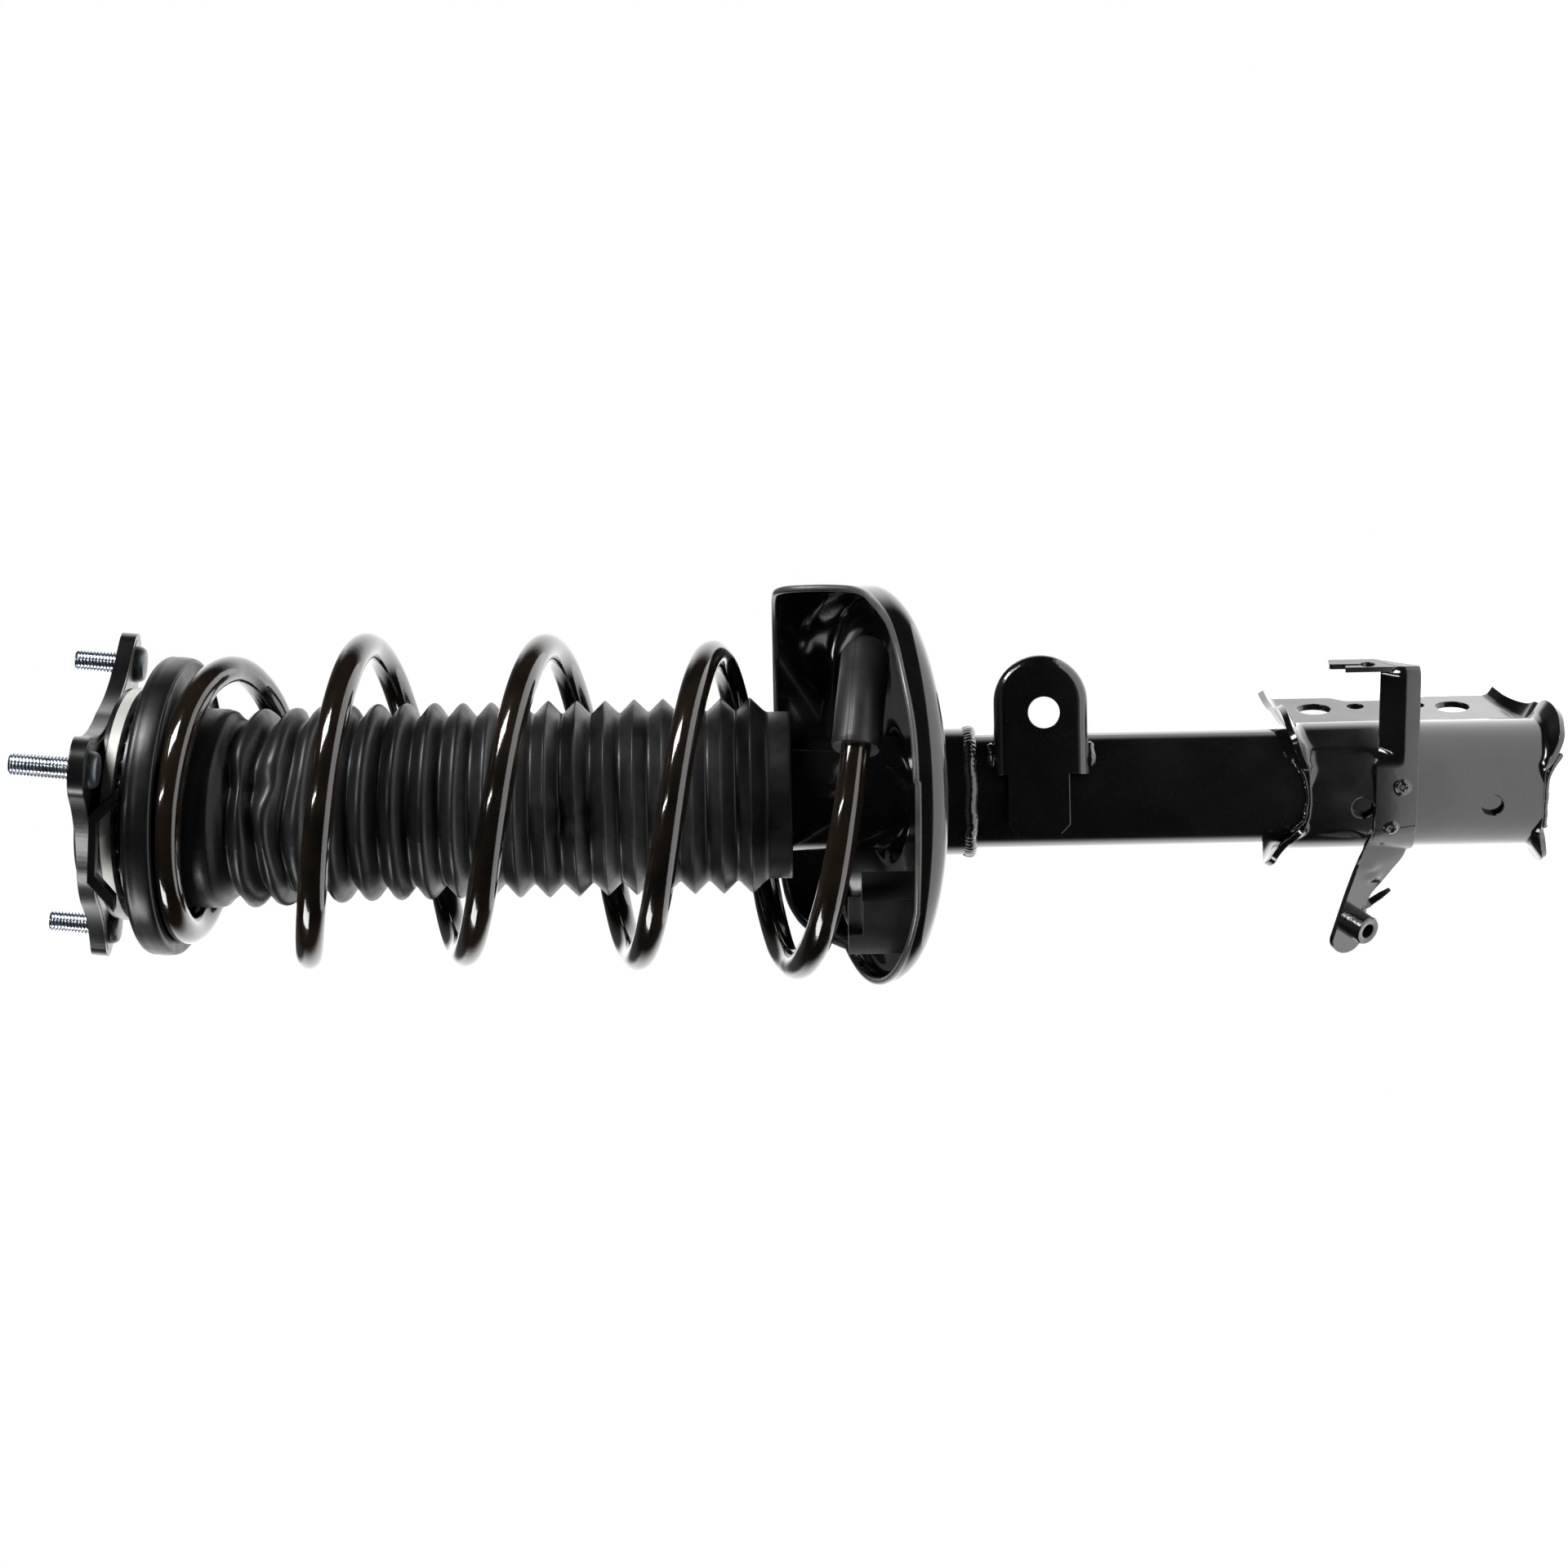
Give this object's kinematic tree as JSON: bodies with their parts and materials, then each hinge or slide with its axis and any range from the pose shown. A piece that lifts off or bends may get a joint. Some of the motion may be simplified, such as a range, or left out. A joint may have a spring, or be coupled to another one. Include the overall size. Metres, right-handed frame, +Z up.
{
  "type": "macpherson strut assembly",
  "caption": "Front suspension strut with coil spring, top mount, dust boot, twin-tube damper, stabiliser link tab and knuckle bracket.",
  "frame": {"origin": "where the damper rod's axis meets the seating face of the top mount", "axes": "+Z up the rod axis, out of the top mount; +X along the knuckle bolts; +Y towards the steering knuckle"},
  "size_m": [0.1778, 0.1776, 0.6793],
  "materials": {
    "black_coat": "gloss black electrocoat",
    "spring_coat": "gloss black powder coat",
    "zinc": "bright zinc plate",
    "rubber": "matte black rubber",
    "boot_rubber": "satin black rubber",
    "foam": "cellular polyurethane",
    "steel": "plain steel",
    "hard_chrome": "ground hard chrome",
    "sintered": "sintered iron",
    "ring_plastic": "filled plastic ring"
  },
  "bodies": {
    "mount": {"mount_plate": "black_coat", "mount_doubler": "black_coat", "mount_studs": "zinc", "mount_cup": "black_coat", "mount_rubber": "rubber", "strap_bracket": "black_coat", "bearing_upper_race": "steel"},
    "seat": {"bearing_balls": "steel", "bearing_lower_race": "steel", "upper_spring_seat": "black_coat", "upper_isolator": "rubber", "coil_spring": "spring_coat", "dust_boot": "boot_rubber"},
    "rod": {"inner_sleeve": "steel", "rod_washer": "zinc", "rod_nut": "zinc", "bump_cup": "steel", "bump_stop": "foam", "piston_rod": "hard_chrome", "rebound_stop": "steel", "piston": "sintered", "piston_ring": "ring_plastic", "piston_nut": "steel"},
    "strut_tube": {"damper_tube": "black_coat", "base_cap": "black_coat", "rod_guide": "sintered", "rod_seal": "rubber", "top_cap": "black_coat", "pressure_tube": "steel", "base_valve": "sintered", "lower_spring_seat": "black_coat", "seat_weld": "black_coat", "lower_isolator": "rubber", "spring_sleeve": "rubber", "link_tab": "black_coat", "link_tab_welds": "black_coat", "knuckle_bracket": "black_coat", "bracket_welds": "black_coat", "hose_bracket": "black_coat", "hose_bracket_welds": "black_coat", "hose_nut": "black_coat"}
  },
  "joints": [
    {"name": "steer_swivel", "type": "hinge", "parent": "mount", "child": "seat", "pos_m": [0, 0, -0.0353], "axis": [0.0321, 0.139, 0.9898], "range_deg": [-35, 35], "deforming": ["mount_rubber"]},
    {"name": "rod_turn", "type": "hinge", "parent": "seat", "child": "rod", "pos_m": [0, 0, 0], "axis": [0, 0, 1], "range_deg": [-36, 36]},
    {"name": "damper_slide", "type": "slide", "parent": "seat", "child": "strut_tube", "axis": [0, 0, 1], "range_m": [0, 0.145], "stiffness_N_per_m": 25000, "springref_m": -0.05, "deforming": ["coil_spring", "dust_boot", "bump_stop"]}
  ],
  "couplings": [
    {"joint": "rod_turn", "follows": "steer_swivel", "ratio": -0.99}
  ]
}
